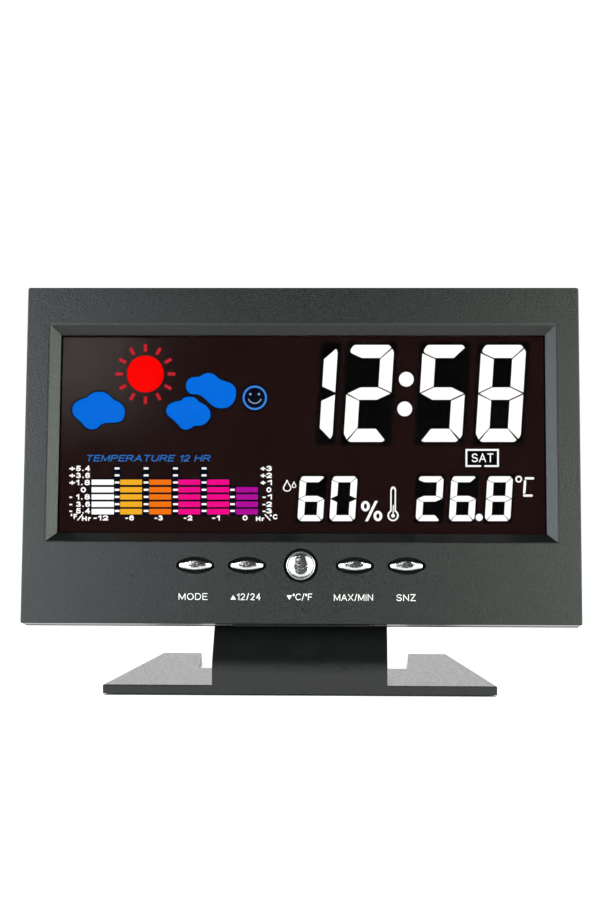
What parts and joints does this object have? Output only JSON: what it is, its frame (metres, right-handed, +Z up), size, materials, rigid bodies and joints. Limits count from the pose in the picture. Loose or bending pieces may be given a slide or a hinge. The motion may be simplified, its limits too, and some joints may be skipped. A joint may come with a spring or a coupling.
{
  "type": "desk weather clock",
  "caption": "Leaning desk weather clock with a wide colour display, a row of chrome push buttons under it, a battery bay at the back and a low U-shaped plug-in stand.",
  "frame": {"origin": "middle of the footprint, on the desk under the feet", "axes": "+X to the reader's right, +Y away from the reader, +Z up"},
  "size_m": [0.157, 0.054, 0.1122],
  "materials": {
    "case_black": "fine spark texture",
    "stand_black": "fine spark texture, slightly smoother",
    "pane": "polished, smoke tinted",
    "gasket": "foam",
    "lcd_glass": "polished",
    "film": "printed colour film",
    "light_guide": "clear",
    "white_sheet": "white",
    "led": "yellow phosphor",
    "white_plastic": "moulded white",
    "elastomer": "layered silicone",
    "board_green": "solder mask on glass laminate",
    "screw_steel": "zinc plated",
    "resin": "black resin",
    "can_metal": "plain can",
    "capacitor_sleeve": "dark sleeve",
    "connector_plastic": "ivory nylon",
    "switch_black": "moulded black",
    "chrome": "bright plated plastic",
    "sensor_blue": "moulded blue",
    "wire_red": "wire sleeve",
    "wire_black": "wire sleeve",
    "contact_nickel": "nickel plated",
    "cell_wrap": "plain printed wrap",
    "foot_rubber": "soft matt"
  },
  "bodies": {
    "stand": {"stand": "stand_black", "stand_feet": "foot_rubber"},
    "case": {"front_bezel": "case_black", "display_window": "pane", "window_gasket": "gasket", "lcd_panel": "lcd_glass", "colour_film": "film", "light_guide": "light_guide", "reflector_sheet": "white_sheet", "backlight_strip": "white_plastic", "backlight_leds": "led", "display_holder": "white_plastic", "contact_strip": "elastomer", "main_board": "board_green", "board_screws": "screw_steel", "chip_blob": "resin", "quartz_crystal": "can_metal", "capacitor": "capacitor_sleeve", "lead_connector": "connector_plastic", "tact_switches": "switch_black", "humidity_sensor": "sensor_blue", "thermistor": "resin", "buzzer": "switch_black", "buzzer_leads": "wire_red", "power_socket": "switch_black", "rear_cover": "case_black", "case_screws": "screw_steel", "battery_plates": "contact_nickel", "battery_springs": "contact_nickel", "battery_cells": "cell_wrap", "battery_lead_red": "wire_red", "battery_lead_black": "wire_black"},
    "mode_key": {"mode_button": "chrome", "mode_plunger": "switch_black"},
    "up_key": {"up_button": "chrome", "up_plunger": "switch_black"},
    "down_key": {"down_button": "chrome", "down_plunger": "switch_black"},
    "memory_key": {"memory_button": "chrome", "memory_plunger": "switch_black"},
    "snooze_key": {"snooze_button": "chrome", "snooze_plunger": "switch_black"},
    "battery_door": {"battery_door": "case_black"}
  },
  "joints": [
    {"name": "case_lift", "type": "slide", "parent": "stand", "child": "case", "axis": [0, 0.2164, 0.9763], "range_m": [0, 0.012]},
    {"name": "mode_press", "type": "slide", "parent": "case", "child": "mode_key", "axis": [0, 0.9763, -0.2164], "range_m": [0, 0.0007], "stiffness_N_per_m": 1500},
    {"name": "up_press", "type": "slide", "parent": "case", "child": "up_key", "axis": [0, 0.9763, -0.2164], "range_m": [0, 0.0007], "stiffness_N_per_m": 1500},
    {"name": "down_press", "type": "slide", "parent": "case", "child": "down_key", "axis": [0, 0.9763, -0.2164], "range_m": [0, 0.0007], "stiffness_N_per_m": 1500},
    {"name": "memory_press", "type": "slide", "parent": "case", "child": "memory_key", "axis": [0, 0.9763, -0.2164], "range_m": [0, 0.0007], "stiffness_N_per_m": 1500},
    {"name": "snooze_press", "type": "slide", "parent": "case", "child": "snooze_key", "axis": [0, 0.9763, -0.2164], "range_m": [0, 0.0007], "stiffness_N_per_m": 1500},
    {"name": "door_slide", "type": "slide", "parent": "case", "child": "battery_door", "axis": [0, 0.2164, 0.9763], "range_m": [0, 0.046]}
  ]
}
